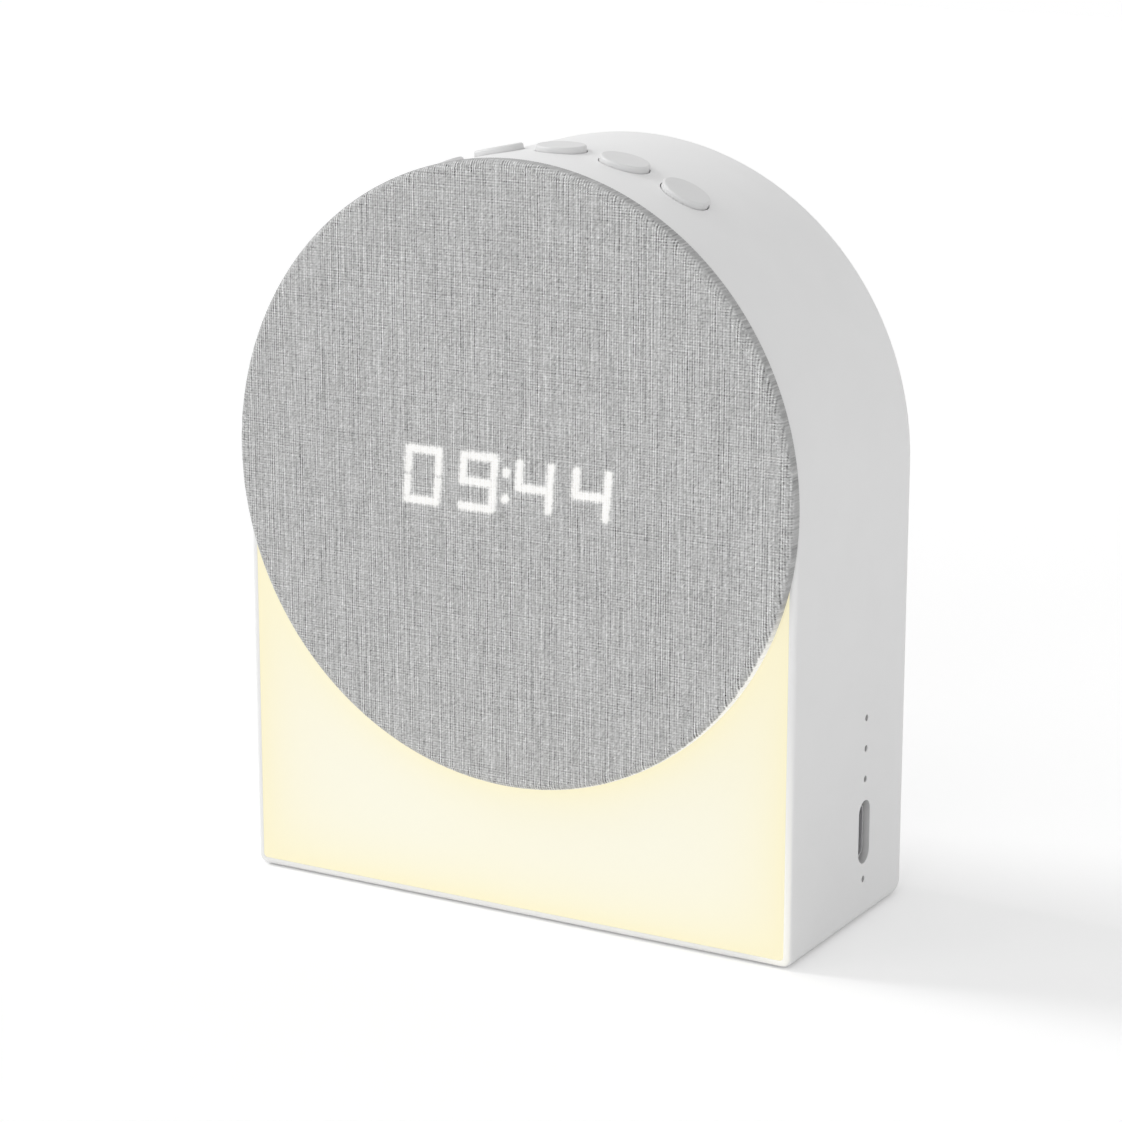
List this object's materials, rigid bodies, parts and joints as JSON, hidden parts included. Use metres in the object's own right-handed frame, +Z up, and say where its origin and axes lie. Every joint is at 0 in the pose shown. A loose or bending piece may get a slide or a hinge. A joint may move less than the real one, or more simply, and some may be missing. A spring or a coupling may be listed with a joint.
{
  "type": "digital alarm clock",
  "caption": "Bedside alarm clock with an arch-shaped body, a round cloth front over display and loudspeaker, and a glowing light panel below.",
  "frame": {"origin": "under the middle of the clock, on the surface that it stands on", "axes": "+Z up, +Y to the back, +X to the right as seen from the front"},
  "size_m": [0.1006, 0.0472, 0.1237],
  "materials": {
    "white_shell": "fine satin mould texture",
    "white_buttons": "fine satin mould texture",
    "lit_panel": "milky, lit warm white from behind",
    "woven_cloth": "melange linen weave",
    "white_inner_plastic": "as moulded",
    "dark_inner_plastic": "as moulded",
    "milky_resin": "translucent",
    "circuit_board": "solder mask",
    "board_parts": "moulded epoxy",
    "white_connectors": "as moulded",
    "lamp_chips": "phosphor",
    "screw_steel": "zinc plated",
    "plated_shell": "tin plated",
    "ferrite": "sintered ferrite",
    "paper_cone": "pressed pulp",
    "soft_suspension": "soft foam rubber",
    "spider_cloth": "impregnated cotton",
    "coil_winding": "enamelled copper wire",
    "plunger_plastic": "as moulded",
    "foot_rubber": "matte",
    "battery_foil": "laminated foil",
    "wire_sleeve": "soft sleeve"
  },
  "bodies": {
    "clock": {"battery_cell": "battery_foil", "battery_foam": "soft_suspension", "battery_wires": "wire_sleeve", "board_capacitors": "board_parts", "board_connectors": "white_connectors", "bracket_screws": "screw_steel", "button_board": "circuit_board", "button_bracket": "white_inner_plastic", "button_wires": "wire_sleeve", "chassis_screws": "screw_steel", "disc_screws": "screw_steel", "display_board": "circuit_board", "display_chips": "lamp_chips", "display_reflector": "dark_inner_plastic", "display_segments": "milky_resin", "display_wires": "wire_sleeve", "fabric_cover": "woven_cloth", "front_chassis": "white_inner_plastic", "grille_plate": "dark_inner_plastic", "light_board": "circuit_board", "light_diffuser": "lit_panel", "light_leds": "lamp_chips", "light_wires": "wire_sleeve", "main_board": "circuit_board", "main_board_screws": "screw_steel", "main_housing": "white_shell", "plate_screws": "screw_steel", "processor_chips": "board_parts", "rear_cover": "white_shell", "rear_cover_screws": "screw_steel", "reset_switch": "dark_inner_plastic", "rubber_feet": "foot_rubber", "speaker_frame": "dark_inner_plastic", "speaker_gasket": "soft_suspension", "speaker_magnet": "ferrite", "speaker_spider": "spider_cloth", "speaker_surround": "soft_suspension", "speaker_top_plate": "screw_steel", "speaker_wires": "wire_sleeve", "speaker_yoke": "screw_steel", "status_leds": "lamp_chips", "status_light_pipe": "milky_resin", "tact_switches": "dark_inner_plastic", "usb_socket_shell": "plated_shell", "usb_socket_tongue": "dark_inner_plastic", "wireless_module": "plated_shell"},
    "button_1": {"top_button_1": "white_buttons", "switch_plunger_1": "plunger_plastic"},
    "button_2": {"top_button_2": "white_buttons", "switch_plunger_2": "plunger_plastic"},
    "button_3": {"top_button_3": "white_buttons", "switch_plunger_3": "plunger_plastic"},
    "button_4": {"top_button_4": "white_buttons", "switch_plunger_4": "plunger_plastic"},
    "button_5": {"top_button_5": "white_buttons", "switch_plunger_5": "plunger_plastic"},
    "reset_key": {"reset_plunger": "plunger_plastic"},
    "speaker_drive": {"speaker_cone": "paper_cone", "speaker_dust_cap": "paper_cone", "voice_coil": "coil_winding"}
  },
  "joints": [
    {"name": "button_1_press", "type": "slide", "parent": "clock", "child": "button_1", "axis": [0.4265, 0, -0.9045], "range_m": [0, 0.0004], "stiffness_N_per_m": 4000},
    {"name": "button_2_press", "type": "slide", "parent": "clock", "child": "button_2", "axis": [0.2104, 0, -0.9776], "range_m": [0, 0.0004], "stiffness_N_per_m": 4000},
    {"name": "button_3_press", "type": "slide", "parent": "clock", "child": "button_3", "axis": [-0.0166, 0, -0.9999], "range_m": [0, 0.0004], "stiffness_N_per_m": 4000},
    {"name": "button_4_press", "type": "slide", "parent": "clock", "child": "button_4", "axis": [-0.2428, 0, -0.9701], "range_m": [0, 0.0004], "stiffness_N_per_m": 4000},
    {"name": "button_5_press", "type": "slide", "parent": "clock", "child": "button_5", "axis": [-0.4563, 0, -0.8898], "range_m": [0, 0.0004], "stiffness_N_per_m": 4000},
    {"name": "reset_press", "type": "slide", "parent": "clock", "child": "reset_key", "axis": [-1, 0, 0], "range_m": [0, 0.0003], "stiffness_N_per_m": 3500},
    {"name": "speaker_excursion", "type": "slide", "parent": "clock", "child": "speaker_drive", "axis": [0, -1, 0], "range_m": [-0.001, 0.001], "stiffness_N_per_m": 1700, "deforming": ["speaker_surround", "speaker_spider"]}
  ]
}
